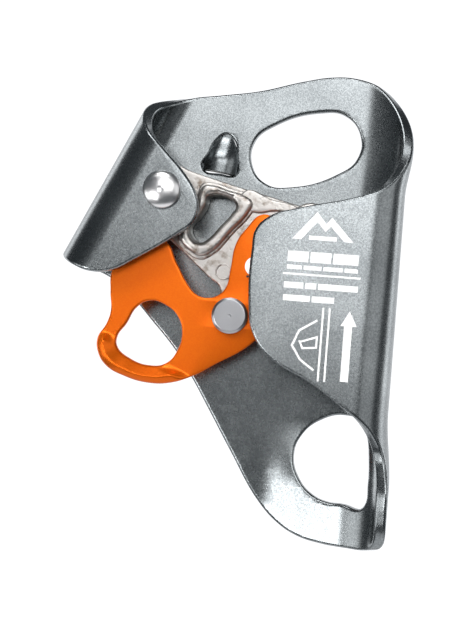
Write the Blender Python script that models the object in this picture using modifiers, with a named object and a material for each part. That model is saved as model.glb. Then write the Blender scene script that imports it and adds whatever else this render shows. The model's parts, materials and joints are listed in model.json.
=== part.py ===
"""A chest ascender: a folded aluminium frame with a toothed, sprung cam and its finger lever.

Frame of reference: +Z runs up along the rope, +X towards the closed side of the rope channel,
and the front leaf faces -Y. The origin is the middle of the lower connector hole, halfway
through the base plate. Lengths below are in millimetres and are scaled to metres by MM.
"""

import math

import bmesh
import bpy
from mathutils import Matrix, Vector

MM = 0.001
OBJECT_NAME = "chest_ascender"

# --- the sheet and its two bends -------------------------------------------------------------
SHEET = 3.2  # thickness of the aluminium
EDGE = 0.7  # radius tumbled onto its cut edges
FLAP_GAP = 14.6  # clear depth under the small flap
CHANNEL_START = 1.8  # x where the base plate starts to bend forward
CHANNEL_BACK = (11.6, 9.2)  # half axes (x, y) of the bend's rear quarter, at mid thickness
CHANNEL_FRONT = (8.4, 8.6)  # half axes of its front quarter
FLAP_LEAN = math.radians(25.5)  # the flap's bend leans off the rope's line
FLAP_START = 81.2  # distance of that bend from the origin, across its own line
FLAP_BEND = (8.1, 8.9)  # half axes of the flap's bend
BULGE_TOP, BULGE_LOW = 1.3, 1.8  # how far the channel flares beside each connector hole
STOP_FRONT, STOP_BACK = -3.4, -1.0  # y of the cam stop's faces
LOBE_TWIST = 0.2  # slope of the twisted lower lobe
LOBE_HINGE = -17.0  # x of its fixed left edge
FLARE_TOP, FLARE_LOW = (73.0, 85.0), (15.0, -5.0)  # z where each flare starts and is full
TWIST_DOWN, TWIST_ACROSS = (11.0, -7.0), (30.0, 10.0)  # z, and x + z, where the twist starts and is full

# --- the moving parts ------------------------------------------------------------------------
AXLE = (-49.0, 70.0)  # x, z of the cam's rivet
AXLE_RADIUS = 3.0
PIN = (-29.0, 38.0)  # x, z of the lever's pin, on the cam
PIN_RADIUS = 2.5
GAP = 0.3  # running clearance between neighbours
CAM_BACK, CAM_FRONT, CAM_RAISED = -2.8, -8.8, -11.2  # y of the cam's faces
CAM_OVERLAP = 1.5  # how deep its raised parts are sunk into its body
NOSE_DROP = 1.4  # the toothed nose stands this much lower than the raised ring
LUG_RADIUS = 3.7  # of the cam's raised ring inside the lever spring
LEVER_BACK, LEVER_FRONT = -11.6, -13.6  # y of the lever plate's faces
LOOP_CENTRE = (-50.5, 31.5)  # finger hole of the lever
FLANGE = 2.6  # how far the lever's outer rim is turned forward
HEAD_RADIUS, HEAD_RIM, HEAD_RISE = 5.1, 0.7, 2.8  # the rivet's domed head
PIN_HEAD_RADIUS, PIN_HEAD_RISE = 4.85, 1.5
WASHER_RADIUS, SLEEVE_RADIUS = 6.6, 4.5
# the springs: radius, wire, turns and length of the straight leg
CAM_COIL, CAM_COIL_WIRE, CAM_COIL_TURNS, CAM_COIL_LEG = 5.5, 0.9, 4.0, 3.2
LEVER_COIL, LEVER_COIL_WIRE, LEVER_COIL_TURNS, LEVER_COIL_LEG = 4.3, 0.7, 1.5, 0.2


def across_flap(distance, along):
    """A point given by its distance across the flap's bend line and its place along it."""
    x = -distance * math.cos(FLAP_LEAN) + along * math.sin(FLAP_LEAN)
    z = distance * math.sin(FLAP_LEAN) + along * math.cos(FLAP_LEAN)
    return x, z


def mean_radius(axes):
    return math.sqrt((axes[0] ** 2 + axes[1] ** 2) / 2)


CHANNEL_RADIUS = (mean_radius(CHANNEL_BACK) + mean_radius(CHANNEL_FRONT)) / 2
FLAP_RADIUS = mean_radius(FLAP_BEND)
CHANNEL_WIDTH = math.pi * CHANNEL_RADIUS  # flat width of each bend in the blank
FLAP_WIDTH = math.pi * FLAP_RADIUS
LEAF_START = CHANNEL_START + CHANNEL_BACK[0] - CHANNEL_FRONT[0]  # x where the leaf is flat again


# --- places on the flat blank, before it is bent -----------------------------------------------
def channel(degrees, z):
    """A place on the channel's bend: 0 at the base plate, 180 at the front leaf."""
    return CHANNEL_START + CHANNEL_RADIUS * math.radians(degrees), z


def leaf(x, z):
    return CHANNEL_START + CHANNEL_WIDTH + LEAF_START - x, z


def flap_bend(degrees, along):
    return across_flap(FLAP_START + FLAP_RADIUS * math.radians(degrees), along)


def flap(distance, along):
    """A place on the flap, by its finished distance across the bend line."""
    return across_flap(FLAP_START + FLAP_WIDTH + FLAP_START - distance, along)


BLANK = [
    (-44.4, 97.0), (-35.1, 98.4), (-26.7, 99.9), (-14.8, 103.3), (-7.0, 104.9), (-0.6, 104.9),
    channel(12, 103.7), channel(24, 102.2), channel(45, 98.2), channel(70, 92.4), channel(90, 87.2),
    channel(110, 82.4), channel(130, 78.2), channel(155, 74.6), leaf(3.0, 72.0),
    leaf(-12.6, 67.8), leaf(-19.6, 65.4), leaf(-23.4, 61.6), leaf(-24.1, 56.0), leaf(-23.7, 41.0),
    leaf(-22.2, 34.0), leaf(-17.5, 28.2), leaf(-5.5, 21.8), leaf(2.4, 16.6),
    channel(160, 12.4), channel(138, 8.6), channel(120, 4.0), channel(107, -2.5),
    channel(101, -11.0), channel(92, -16.8), channel(76, -20.2), channel(50, -21.9), channel(22, -22.2),
    (-1.0, -21.8), (-7.6, -20.4), (-13.4, -17.3), (-18.6, -12.4), (-27.6, 1.1), (-34.0, 11.3),
    (-40.1, 20.8), (-44.9, 27.4), (-52.0, 35.0), (-58.0, 41.0), (-64.0, 45.6),
    flap_bend(12, 13.4), flap_bend(90, 13.2), flap_bend(150, 12.8),
    flap(80.0, 13.9), flap(75.6, 16.8), flap(72.2, 21.6), flap(64.6, 34.4), flap(62.9, 38.4),
    flap(63.4, 41.9), flap(65.8, 45.4), flap(71.0, 48.6), flap(79.8, 51.9),
    flap_bend(155, 53.8), flap_bend(120, 57.0), flap_bend(90, 60.0), flap_bend(50, 63.6),
]
UPPER_HOLE = ((-19.3, 82.4), (-6.8, 86.8), 8.7)  # two end circles of one radius
LOWER_HOLE = [
    (3.4, 13.2), (-3.2, 11.4), (-8.2, 6.8), (-9.9, 1.0), (-7.9, -5.0), (-3.8, -9.0),
    (0.6, -10.5), (4.0, -10.6), (7.4, -11.3), (9.2, -9.8), (9.7, -4.0), (9.8, 2.0), (9.4, 7.6),
    (7.8, 11.6),
]
CAM_STOP = [(-40.6, 77.6), (-39.2, 81.4), (-37.0, 86.2), (-34.8, 87.6), (-32.6, 85.8),
            (-31.6, 81.0), (-31.6, 76.8)]

CAM_BODY = [
    (-55.0, 75.2), (-49.0, 78.0), (-43.0, 76.2), (-13.0, 68.9), (3.0, 65.2), (6.2, 63.4), (6.6, 60.4),
    (4.2, 55.4), (-3.0, 47.6), (-12.0, 40.0), (-21.0, 33.4), (-26.6, 31.4), (-31.6, 32.4),
    (-34.2, 36.0), (-34.3, 39.6), (-32.9, 42.6), (-33.0, 45.4), (-35.8, 47.6), (-39.9, 51.0),
    (-45.0, 55.2), (-49.4, 58.8), (-54.6, 63.8), (-57.0, 70.0),
]
CAM_RIM = [
    (-40.4, 70.0), (-39.2, 72.4), (-37.0, 72.7), (-32.2, 71.6), (-27.4, 70.3), (-25.6, 68.8),
    (-26.2, 66.4), (-30.8, 60.4), (-35.8, 54.6), (-38.8, 53.4), (-41.8, 54.7), (-44.4, 57.2),
    (-44.6, 59.8), (-42.4, 63.2), (-40.9, 66.2),
]
CAM_WINDOW = [
    (-38.3, 67.0), (-37.7, 69.4), (-35.6, 70.0), (-31.6, 69.0), (-30.2, 67.5), (-31.2, 65.4),
    (-34.2, 61.6), (-37.0, 58.3), (-39.2, 57.1), (-41.5, 58.7), (-42.1, 60.9), (-39.9, 63.9),
]
NOSE = [(-13.5, 68.3), (3.0, 64.4), (5.6, 62.6), (5.9, 60.4), (3.6, 55.8), (-3.6, 48.2),
        (-10.0, 43.0), (-13.0, 46.0), (-13.6, 56.0)]

LEVER = [
    (-61.4, 37.0), (-61.9, 42.0), (-61.8, 48.0), (-58.6, 52.2), (-53.4, 55.6), (-48.0, 56.4),
    (-44.6, 51.2), (-41.0, 45.4), (-38.4, 42.9), (-35.6, 42.3), (-32.7, 43.2), (-30.7, 45.6),
    (-29.9, 50.4), (-28.9, 57.4), (-26.3, 61.8), (-22.4, 65.6), (-19.2, 64.6), (-17.2, 58.0),
    (-17.0, 46.0), (-18.6, 36.4), (-22.4, 31.2), (-32.1, 24.6), (-38.4, 20.8), (-43.7, 18.8),
    (-49.4, 18.3), (-56.2, 19.6), (-61.6, 22.2), (-64.0, 25.8), (-64.3, 29.4), (-62.2, 33.6),
]
FINGER_HOLE = [
    (-54.4, 38.4), (-50.8, 40.4), (-46.4, 39.4), (-43.0, 36.6), (-41.6, 32.4), (-42.6, 27.4),
    (-45.4, 23.9), (-50.0, 23.0), (-55.2, 24.4), (-59.0, 27.4), (-59.2, 30.0), (-57.0, 33.6),
]


# --- Blender helpers ---------------------------------------------------------------------------
def clear_scene():
    for item in list(bpy.data.objects):
        bpy.data.objects.remove(item, do_unlink=True)


def collection(name):
    made = bpy.data.collections.new(name)
    bpy.context.scene.collection.children.link(made)
    return made


def material(name, colour, roughness, metallic):
    made = bpy.data.materials.new(name)
    made.use_nodes = True
    shader = made.node_tree.nodes["Principled BSDF"]
    shader.inputs["Base Color"].default_value = (*colour, 1.0)
    shader.inputs["Roughness"].default_value = roughness
    shader.inputs["Metallic"].default_value = metallic
    return made


def smooth_step(value, start, end):
    t = max(0.0, min(1.0, (value - start) / (end - start)))
    return t * t * (3.0 - 2.0 * t)


def loop_spline(curve, points, steps):
    """A smooth closed outline through the given points."""
    spline = curve.splines.new("BEZIER")
    spline.bezier_points.add(len(points) - 1)
    for bezier, (x, z) in zip(spline.bezier_points, points):
        bezier.co = (x * MM, z * MM, 0.0)
        bezier.handle_left_type = bezier.handle_right_type = "AUTO"
    spline.use_cyclic_u = True
    spline.resolution_u = steps


def grown(points, factor):
    """An outline enlarged about its middle."""
    middle_x = sum(x for x, z in points) / len(points)
    middle_z = sum(z for x, z in points) / len(points)
    return [(middle_x + (x - middle_x) * factor, middle_z + (z - middle_z) * factor) for x, z in points]


def ring_points(centre, radius, count=8):
    turn = 2.0 * math.pi / count
    return [(centre[0] + radius * math.cos(turn * i), centre[1] + radius * math.sin(turn * i))
            for i in range(count)]


def slot_points(first, second, radius, count=5):
    """A slot's outline: a half circle round each of its two end points."""
    heading = math.atan2(second[1] - first[1], second[0] - first[0])
    points = []
    for centre, start in ((second, heading - math.pi / 2), (first, heading + math.pi / 2)):
        for i in range(count):
            angle = start + math.pi * i / (count - 1)
            points.append((centre[0] + radius * math.cos(angle), centre[1] + radius * math.sin(angle)))
    return points


def sheet_mesh(name, outline, holes, thickness, edge, steps=3):
    """A flat plate in the XY plane, centred on Z = 0, with rounded edges: curve, then mesh."""
    curve = bpy.data.curves.new(name, "CURVE")
    curve.dimensions = "2D"
    curve.fill_mode = "BOTH"
    curve.extrude = (thickness / 2 - edge) * MM
    curve.bevel_depth = edge * MM
    curve.bevel_resolution = 0
    curve.offset = -edge * MM
    loop_spline(curve, outline, steps)
    for hole in holes:
        loop_spline(curve, hole, steps)
    flat = bpy.data.objects.new(name, curve)
    bpy.context.scene.collection.objects.link(flat)
    graph = bpy.context.evaluated_depsgraph_get()
    mesh = bpy.data.meshes.new_from_object(flat.evaluated_get(graph))
    bpy.data.objects.remove(flat, do_unlink=True)
    bpy.data.curves.remove(curve)
    mesh.name = name
    return mesh


def shape_sheet(mesh, cuts, place):
    """Cuts a flat plate along parallel lines, then moves every point to its finished place.

    cuts holds (start x, start z, normal x, normal z, step, count) in millimetres; place takes
    x, z and the offset behind the sheet's middle, and gives the finished x, y and z.
    """
    work = bmesh.new()
    work.from_mesh(mesh)
    bmesh.ops.remove_doubles(work, verts=work.verts, dist=1e-6)
    for x, z, normal_x, normal_z, step, count in cuts:
        for i in range(count):
            point = Vector((x + normal_x * step * i, z + normal_z * step * i, 0.0)) * MM
            bmesh.ops.bisect_plane(work, geom=work.verts[:] + work.edges[:] + work.faces[:],
                                   plane_co=point, plane_no=(normal_x, normal_z, 0.0), dist=2e-6)
    bmesh.ops.triangulate(work, faces=work.faces[:])
    for vert in work.verts:
        x, y, z = place(vert.co.x / MM, vert.co.y / MM, -vert.co.z / MM)
        vert.co = (x * MM, y * MM, z * MM)
    bmesh.ops.recalc_face_normals(work, faces=work.faces)
    work.to_mesh(mesh)
    work.free()
    return mesh


def add_object(name, mesh, finish, home, at=(0.0, 0.0, 0.0), angle=40.0):
    """Links a world-space mesh as an object whose origin is at the given point."""
    mesh.transform(Matrix.Translation(-Vector(at) * MM))
    mesh.shade_smooth()
    mesh.set_sharp_from_angle(angle=math.radians(angle))
    mesh.materials.clear()
    mesh.materials.append(finish)
    made = bpy.data.objects.new(name, mesh)
    made.location = Vector(at) * MM
    home.objects.link(made)
    return made


def flat_plate(name, outline, holes, front, back, edge, steps=3):
    """A plate between two depths, in world space."""
    middle = (front + back) / 2
    mesh = sheet_mesh(name, outline, holes, back - front, edge, steps)
    return shape_sheet(mesh, [], lambda x, z, behind: (x, middle + behind, z))


def turned(name, profile, finish, home, centre, steps=32):
    """A body turned about the Y axis through centre, from (radius, y) points, front to back."""
    mesh = bpy.data.meshes.new(name)
    made = bpy.data.objects.new(name, mesh)
    points = [(radius * MM, 0.0, -y * MM) for radius, y in profile]
    mesh.from_pydata(points, [(i, i + 1) for i in range(len(points) - 1)], [])
    home.objects.link(made)
    screw = made.modifiers.new("Turn", "SCREW")
    screw.axis = "Z"
    screw.steps = screw.render_steps = steps
    screw.use_merge_vertices = True
    screw.merge_threshold = 1e-6
    graph = bpy.context.evaluated_depsgraph_get()
    solid = bpy.data.meshes.new_from_object(made.evaluated_get(graph))
    bpy.data.objects.remove(made, do_unlink=True)
    solid.transform(Matrix.Rotation(math.radians(90), 4, "X"))
    solid.transform(Matrix.Translation(Vector((centre[0], 0.0, centre[1])) * MM))
    work = bmesh.new()
    work.from_mesh(solid)
    bmesh.ops.remove_doubles(work, verts=work.verts, dist=1e-6)
    bmesh.ops.recalc_face_normals(work, faces=work.faces)
    work.to_mesh(solid)
    work.free()
    return add_object(name, solid, finish, home, at=(centre[0], 0.0, centre[1]))


def washer(name, inner, outer, front, back, finish, home, centre):
    profile = [(inner, front), (outer, front), (outer, back), (inner, back), (inner, front)]
    return turned(name, profile, finish, home, centre)


def coil(name, centre, radius, wire, front, back, turns, tail, finish, home):
    """A torsion spring of round wire about the Y axis, ending in a short straight leg."""
    curve = bpy.data.curves.new(name, "CURVE")
    curve.dimensions = "3D"
    curve.bevel_depth = wire / 2 * MM
    curve.bevel_resolution = 1
    curve.use_fill_caps = True
    spline = curve.splines.new("POLY")
    per_turn = 16
    count = int(turns * per_turn) + 1
    spline.points.add(count)
    for i in range(count):
        angle = 2.0 * math.pi * i / per_turn
        depth = front + (back - front) * i / (count - 1)
        place = Vector((centre[0] + radius * math.cos(angle), depth, centre[1] + radius * math.sin(angle)))
        spline.points[i + 1].co = (*(place * MM), 1.0)
    start = Vector(spline.points[1].co[:3])
    spline.points[0].co = (*(start + Vector((tail * 0.4, 0.0, -tail)) * MM), 1.0)
    made = bpy.data.objects.new(name, curve)
    home.objects.link(made)
    graph = bpy.context.evaluated_depsgraph_get()
    mesh = bpy.data.meshes.new_from_object(made.evaluated_get(graph))
    bpy.data.objects.remove(made, do_unlink=True)
    work = bmesh.new()
    work.from_mesh(mesh)
    bmesh.ops.remove_doubles(work, verts=work.verts, dist=1e-7)
    bmesh.ops.recalc_face_normals(work, faces=work.faces)
    work.to_mesh(mesh)
    work.free()
    return add_object(name, mesh, finish, home, at=(centre[0], 0.0, centre[1]))


def cut_or_join(target, tool_mesh, operation, cutters):
    """Runs one Boolean modifier on target, with its tool kept among the cutters."""
    tool = bpy.data.objects.new(target.name + "_" + operation.lower(), tool_mesh)
    tool.hide_render = True
    tool.display_type = "WIRE"
    cutters.objects.link(tool)
    change = target.modifiers.new(operation.title(), "BOOLEAN")
    change.operation = operation
    change.object = tool
    return tool


# --- the bent frame ------------------------------------------------------------------------------
def bent_place(x, z, behind):
    """Where a point of the flat blank ends up once both bends and the twist are made."""
    distance = -x * math.cos(FLAP_LEAN) + z * math.sin(FLAP_LEAN)
    y = behind
    if x > CHANNEL_START:
        turn = (x - CHANNEL_START) / CHANNEL_RADIUS
        x, y = bend_section(turn, behind, CHANNEL_BACK, CHANNEL_FRONT)
        flare = BULGE_TOP * smooth_step(z, *FLARE_TOP) + BULGE_LOW * smooth_step(z, *FLARE_LOW)
        x += CHANNEL_START + flare * math.sin(min(turn, math.pi))
    elif distance > FLAP_START:
        along = x * math.sin(FLAP_LEAN) + z * math.cos(FLAP_LEAN)
        turn = (distance - FLAP_START) / FLAP_RADIUS
        offset, y = bend_section(turn, behind, FLAP_BEND, FLAP_BEND)
        x, z = across_flap(FLAP_START + offset, along)
    twist = LOBE_TWIST * smooth_step(z, *TWIST_DOWN) * smooth_step(z + x, *TWIST_ACROSS)
    y -= twist * max(0.0, x - LOBE_HINGE)
    return x, y, z


def bend_section(turn, behind, back, front):
    """Sideways and forward place on a bend of two quarter ellipses, then the flat beyond it."""
    flat = max(0.0, turn - math.pi) * (CHANNEL_RADIUS if back is CHANNEL_BACK else FLAP_RADIUS)
    turn = min(turn, math.pi)
    axes = back if turn <= math.pi / 2 else front
    side = back[0] - axes[0] + axes[0] * math.sin(turn)
    ahead = -back[1] + (axes[1] if turn > math.pi / 2 else back[1]) * math.cos(turn)
    normal = Vector((axes[1] * math.sin(turn), axes[0] * math.cos(turn))).normalized()
    return side + behind * normal.x - flat, ahead + behind * normal.y


def make_frame(finish, home, cutters):
    holes = [slot_points(*UPPER_HOLE), LOWER_HOLE, ring_points(AXLE, AXLE_RADIUS + GAP)]
    distance = -AXLE[0] * math.cos(FLAP_LEAN) + AXLE[1] * math.sin(FLAP_LEAN)
    along = AXLE[0] * math.sin(FLAP_LEAN) + AXLE[1] * math.cos(FLAP_LEAN)
    holes.append(ring_points(flap(distance, along), AXLE_RADIUS + GAP))
    mesh = sheet_mesh("frame", BLANK, holes, SHEET, EDGE, steps=3)
    bends = 12
    line = across_flap(FLAP_START, 0.0)
    cuts = [
        (CHANNEL_START, 0.0, 1.0, 0.0, CHANNEL_WIDTH / bends, bends + 1),
        (line[0], line[1], -math.cos(FLAP_LEAN), math.sin(FLAP_LEAN), FLAP_WIDTH / bends, bends + 1),
        (-30.0, 0.0, 1.0, 0.0, 8.0, 4),
        (0.0, -16.0, 0.0, 1.0, 4.5, 8),
        (0.0, 68.0, 0.0, 1.0, 6.0, 4),
    ]
    shape_sheet(mesh, cuts, bent_place)
    frame = add_object("frame", mesh, finish, home)
    stop = flat_plate("cam_stop", CAM_STOP, [], STOP_FRONT, STOP_BACK, 0.5)
    cut_or_join(frame, stop, "UNION", cutters)
    return frame


# --- the cam, its lever and their small parts ---------------------------------------------------
def make_cam(finish, home, cutters):
    bores = [ring_points(AXLE, AXLE_RADIUS + GAP), ring_points(PIN, PIN_RADIUS + GAP), CAM_WINDOW]
    body = flat_plate("cam", CAM_BODY, bores, CAM_FRONT, CAM_BACK, 0.6)
    cam = add_object("cam", body, finish, home, at=(AXLE[0], 0.0, AXLE[1]))
    rim = flat_plate("rim", CAM_RIM, [grown(CAM_WINDOW, 1.05)], CAM_RAISED, CAM_FRONT + CAM_OVERLAP, 0.5)
    cut_or_join(cam, rim, "UNION", cutters)
    nose = flat_plate("nose", NOSE, [], CAM_RAISED - NOSE_DROP, CAM_FRONT + CAM_OVERLAP, 0.8)
    cut_or_join(cam, nose, "UNION", cutters)
    lug = flat_plate("lug", ring_points(PIN, LUG_RADIUS), [ring_points(PIN, PIN_RADIUS + 1.05 * GAP)],
                     CAM_RAISED, CAM_FRONT + CAM_OVERLAP, 0.2)
    cut_or_join(cam, lug, "UNION", cutters)
    return cam


def lever_place(x, z, behind):
    """The lever's plate, with the outer rim of its finger loop turned forward."""
    reach = Vector((x - LOOP_CENTRE[0], z - LOOP_CENTRE[1]))
    facing = reach.normalized().dot(Vector((-0.64, -0.77))) if reach.length > 1e-6 else 0.0
    turned_out = smooth_step(facing, 0.1, 0.6) * smooth_step(reach.length, 9.6, 14.0)
    middle = (LEVER_FRONT + LEVER_BACK) / 2
    return x, middle + behind - FLANGE * turned_out, z


def make_lever(finish, home):
    holes = [FINGER_HOLE, ring_points(PIN, PIN_RADIUS + GAP)]
    mesh = sheet_mesh("release_lever", LEVER, holes, LEVER_BACK - LEVER_FRONT, 0.45)
    cuts = [(-63.0, 0.0, 1.0, 0.0, 3.0, 8), (0.0, 19.5, 0.0, 1.0, 3.0, 7)]
    shape_sheet(mesh, cuts, lever_place)
    return add_object("release_lever", mesh, finish, home, at=(PIN[0], 0.0, PIN[1]))


def make_axle(finish, home):
    """A round rivet: a domed head on the flap, its tail dressed flush in the base plate."""
    head = -(SHEET / 2 + FLAP_GAP + SHEET + GAP)
    dome = [(HEAD_RADIUS * math.cos(math.radians(a)),
             head - HEAD_RIM - (HEAD_RISE - HEAD_RIM) * math.sin(math.radians(a)))
            for a in range(90, -1, -15)]
    dome[0] = (0.0, head - HEAD_RISE)
    profile = dome + [(HEAD_RADIUS, head), (AXLE_RADIUS, head), (AXLE_RADIUS, 1.1), (2.6, 1.5), (0.0, 1.5)]
    return turned("cam_axle", profile, finish, home, AXLE)


def make_pin(finish, home):
    head = LEVER_FRONT - GAP
    front, tail = head - PIN_HEAD_RISE, CAM_BACK + 0.2
    profile = [(0.0, front), (PIN_HEAD_RADIUS - 0.45, front), (PIN_HEAD_RADIUS, front + 0.4),
               (PIN_HEAD_RADIUS, head), (PIN_RADIUS, head), (PIN_RADIUS, tail), (0.0, tail)]
    return turned("lever_pin", profile, finish, home, PIN)


def main():
    clear_scene()
    home = collection(OBJECT_NAME)
    cutters = collection("cutters")
    grey = material("anodised_grey", (0.22, 0.25, 0.26), 0.42, 0.9)
    silver = material("nickel_plate", (0.62, 0.58, 0.54), 0.3, 1.0)
    steel = material("polished_steel", (0.6, 0.6, 0.6), 0.2, 1.0)
    orange = material("anodised_orange", (0.9, 0.25, 0.02), 0.35, 0.6)
    wire = material("spring_wire", (0.45, 0.45, 0.46), 0.3, 1.0)
    resin = material("acetal", (0.04, 0.04, 0.045), 0.5, 0.0)

    make_frame(grey, home, cutters)
    make_cam(silver, home, cutters)
    make_lever(orange, home)
    make_axle(steel, home)
    make_pin(steel, home)

    flap_face = -(SHEET / 2 + FLAP_GAP)
    inner = AXLE_RADIUS + GAP
    washer("axle_washer", inner, WASHER_RADIUS, CAM_BACK + GAP, -SHEET / 2 - GAP, resin, home, AXLE)
    washer("axle_sleeve", inner, SLEEVE_RADIUS, flap_face + GAP, CAM_FRONT - GAP, resin, home, AXLE)
    coil("cam_spring", AXLE, CAM_COIL, CAM_COIL_WIRE, flap_face + 1.0, CAM_FRONT - 1.0,
         CAM_COIL_TURNS, CAM_COIL_LEG, wire, home)
    coil("lever_spring", PIN, LEVER_COIL, LEVER_COIL_WIRE, LEVER_BACK + 0.9, CAM_FRONT - 0.7,
         LEVER_COIL_TURNS, LEVER_COIL_LEG, wire, home)


main()
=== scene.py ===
# %% [markdown]
# # A chest ascender
#
# A chest ascender is a rope clamp worn on the chest. One plate of aluminium is folded twice: on
# one side it makes the channel that the rope runs in, on the other a short flap that carries the
# axle of a toothed cam. This lesson dresses the working model in its finished surfaces. The frame
# is modelled the way it is made: as a flat blank with its holes, which is then bent.

import json
import math

import bmesh
import bpy
from mathutils import Matrix, Vector


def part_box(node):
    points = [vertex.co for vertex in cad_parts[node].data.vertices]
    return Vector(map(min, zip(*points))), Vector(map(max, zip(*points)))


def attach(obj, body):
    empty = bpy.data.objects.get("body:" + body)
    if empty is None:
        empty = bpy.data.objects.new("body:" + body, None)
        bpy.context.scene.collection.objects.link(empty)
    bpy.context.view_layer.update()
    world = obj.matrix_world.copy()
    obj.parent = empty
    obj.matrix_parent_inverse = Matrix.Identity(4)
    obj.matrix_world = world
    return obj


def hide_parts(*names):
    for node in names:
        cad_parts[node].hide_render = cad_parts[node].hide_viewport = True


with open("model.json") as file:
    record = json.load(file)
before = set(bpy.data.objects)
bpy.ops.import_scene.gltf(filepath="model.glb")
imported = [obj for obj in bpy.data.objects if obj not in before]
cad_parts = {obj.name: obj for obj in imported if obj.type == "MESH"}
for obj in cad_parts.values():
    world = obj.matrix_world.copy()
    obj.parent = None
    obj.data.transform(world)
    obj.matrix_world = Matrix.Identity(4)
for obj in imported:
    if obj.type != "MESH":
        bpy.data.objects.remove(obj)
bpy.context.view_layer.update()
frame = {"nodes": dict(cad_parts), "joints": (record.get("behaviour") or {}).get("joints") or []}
print("nodes:", sorted(frame["nodes"]))

# %% [markdown]
# Lengths are given in millimetres, as a maker would draw them, and turned into metres once, by
# MM. The places of the two pivots come from the joints of the working model.

# %% Units and pivots
MM = 0.001
pivots = {joint["name"]: joint for joint in frame["joints"]}
AXLE = [value / MM for value in pivots["cam_swing"]["pos_m"]][::2]
PIN = [value / MM for value in pivots["lever_swing"]["pos_m"]][::2]
print("axle at", AXLE, "pin at", PIN)

# %% [markdown]
# The sheet is 3.2 mm thick with tumbled edges. Each bend is two quarter ellipses, one behind and
# one in front, given by their half axes at the middle of the sheet.

# %% The sheet and its bends
SHEET = 3.2
EDGE = 0.75  # radius tumbled onto the sheet's cut edges
GAP = 0.3  # running clearance between neighbours
CHANNEL_START = 1.8
CHANNEL_BACK = (11.6, 9.2)
CHANNEL_FRONT = (8.4, 8.6)
FLAP_LEAN = math.radians(25.5)
FLAP_START = 81.2
FLAP_BEND = (8.1, 8.9)
BULGE_TOP, BULGE_LOW = 1.3, 1.8  # how far the channel flares beside each connector hole
FLARE_TOP, FLARE_LOW = (73.0, 85.0), (15.0, -5.0)  # z where each flare starts and is full
TWIST_DOWN, TWIST_ACROSS = (11.0, -7.0), (30.0, 10.0)  # z, and x + z, where the twist starts and is full
LEAF_TAPER, LEAF_MIDDLE = 0.04, 46.0  # the leaf's slope back towards its top, and the z it turns about
LOBE_TWIST = 0.2  # slope of the twisted lower lobe
LOBE_HINGE = -17.0  # x of its fixed left edge


def mean_radius(axes):
    return math.sqrt((axes[0] ** 2 + axes[1] ** 2) / 2)


CHANNEL_RADIUS = (mean_radius(CHANNEL_BACK) + mean_radius(CHANNEL_FRONT)) / 2
FLAP_RADIUS = mean_radius(FLAP_BEND)
CHANNEL_WIDTH = math.pi * CHANNEL_RADIUS
FLAP_WIDTH = math.pi * FLAP_RADIUS
LEAF_START = CHANNEL_START + CHANNEL_BACK[0] - CHANNEL_FRONT[0]
LEAF_FACE = -(SHEET * 1.5 + CHANNEL_BACK[1] + CHANNEL_FRONT[1] - SHEET)
print(f"channel {CHANNEL_WIDTH:.1f} mm and flap {FLAP_WIDTH:.1f} mm wide when flat")

# %% [markdown]
# These helpers name places on the flat blank by where they end up on the bent frame: so many
# degrees round a bend, or a finished place on the front leaf or on the flap.


# %% Places on the blank
def across_flap(distance, along):
    x = -distance * math.cos(FLAP_LEAN) + along * math.sin(FLAP_LEAN)
    z = distance * math.sin(FLAP_LEAN) + along * math.cos(FLAP_LEAN)
    return x, z


def channel(degrees, z):
    return CHANNEL_START + CHANNEL_RADIUS * math.radians(degrees), z


def leaf(x, z):
    return CHANNEL_START + CHANNEL_WIDTH + LEAF_START - x, z


def flap_bend(degrees, along):
    return across_flap(FLAP_START + FLAP_RADIUS * math.radians(degrees), along)


def flap(distance, along):
    return across_flap(FLAP_START + FLAP_WIDTH + FLAP_START - distance, along)


BLANK = [
    (-44.4, 97.0), (-35.1, 98.4), (-26.7, 99.9), (-14.8, 103.3), (-7.0, 104.9), (-0.6, 104.9),
    channel(12, 103.7), channel(24, 102.2), channel(45, 98.2), channel(70, 92.4), channel(90, 87.2),
    channel(110, 82.4), channel(130, 78.2), channel(155, 74.6), leaf(3.0, 72.0),
    leaf(-12.6, 67.8), leaf(-19.6, 65.4), leaf(-23.4, 61.6), leaf(-24.1, 56.0), leaf(-23.7, 41.0),
    leaf(-22.2, 34.0), leaf(-17.5, 28.2), leaf(-5.5, 21.8), leaf(2.4, 16.6),
    channel(160, 12.4), channel(138, 8.6), channel(120, 4.0), channel(107, -2.5),
    channel(101, -11.0), channel(92, -16.8), channel(76, -20.2), channel(50, -21.9), channel(22, -22.2),
    (-1.0, -21.8), (-7.6, -20.4), (-13.4, -17.3), (-18.6, -12.4), (-27.6, 1.1), (-34.0, 11.3),
    (-40.1, 20.8), (-44.9, 27.4), (-52.0, 35.0), (-58.0, 41.0), (-64.0, 45.6),
    flap_bend(12, 13.4), flap_bend(90, 13.2), flap_bend(150, 12.8),
    flap(80.0, 13.9), flap(75.6, 16.8), flap(72.2, 21.6), flap(64.6, 34.4), flap(62.9, 38.4),
    flap(63.4, 41.9), flap(65.8, 45.4), flap(71.0, 48.6), flap(79.8, 51.9),
    flap_bend(155, 53.8), flap_bend(120, 57.0), flap_bend(90, 60.0), flap_bend(50, 63.6),
]
UPPER_HOLE = ((-19.3, 82.4), (-6.8, 86.8), 8.7)  # two end circles of one radius
LOWER_HOLE = [
    (3.4, 13.2), (-3.2, 11.4), (-8.2, 6.8), (-9.9, 1.0), (-7.9, -5.0), (-3.8, -9.0),
    (0.6, -10.5), (4.0, -10.6), (7.4, -11.3), (9.2, -9.8), (9.7, -4.0), (9.8, 2.0), (9.4, 7.6),
    (7.8, 11.6),
]
STOP_OUTLINE = [(-41.0, 77.9), (-39.6, 81.4), (-37.4, 85.8), (-35.0, 87.3), (-32.8, 85.8),
                (-31.9, 81.0), (-31.8, 76.9), (-36.0, 76.6)]
print("blank outline:", len(BLANK), "points")

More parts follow.
